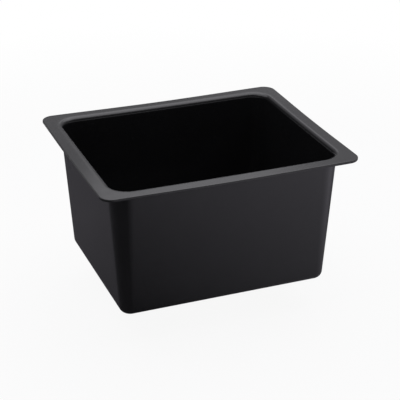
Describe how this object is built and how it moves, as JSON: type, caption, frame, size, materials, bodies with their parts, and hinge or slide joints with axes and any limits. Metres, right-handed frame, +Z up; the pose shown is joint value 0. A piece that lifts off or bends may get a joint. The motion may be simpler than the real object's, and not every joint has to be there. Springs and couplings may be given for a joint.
{
  "type": "laboratory sink",
  "caption": "Deep rectangular drop-in laboratory sink in black plastic, hung by its flat rim, with a threaded waste outlet, lift-out strainer and plug on a pull ring.",
  "frame": {"origin": "centre of the rim's flat underside, the plane that seats on the worktop", "axes": "+X along the long side, +Y towards the back, +Z up out of the worktop"},
  "size_m": [0.4572, 0.381, 0.2995],
  "materials": {
    "basin_plastic": "satin moulded black polypropylene",
    "outlet_plastic": "moulded black polypropylene",
    "slip_washer_plastic": "natural polyethylene",
    "seal_rubber": "matt black rubber",
    "plug_rubber": "matt black rubber",
    "stainless": "brushed stainless steel"
  },
  "bodies": {
    "sink": {"basin": "basin_plastic", "outlet_body": "outlet_plastic", "outlet_gasket": "seal_rubber", "sealing_washer": "seal_rubber", "slip_washer": "slip_washer_plastic", "lock_nut": "outlet_plastic"},
    "strainer": {"strainer": "outlet_plastic"},
    "plug": {"plug_rubber": "plug_rubber", "plug_cap": "stainless", "plug_eyelet": "stainless", "plug_washer": "stainless", "plug_nut": "stainless"},
    "ring": {"pull_ring": "stainless"}
  },
  "joints": [
    {"name": "strainer_lift", "type": "slide", "parent": "sink", "child": "strainer", "axis": [0, 0, 1], "range_m": [0, 0.28]},
    {"name": "plug_lift", "type": "slide", "parent": "strainer", "child": "plug", "axis": [0, 0, 1], "range_m": [0, 0.27]},
    {"name": "ring_turn", "type": "hinge", "parent": "plug", "child": "ring", "pos_m": [0, 0, -0.23342], "axis": [-1, 0, 0], "range_deg": [0, 158]}
  ]
}
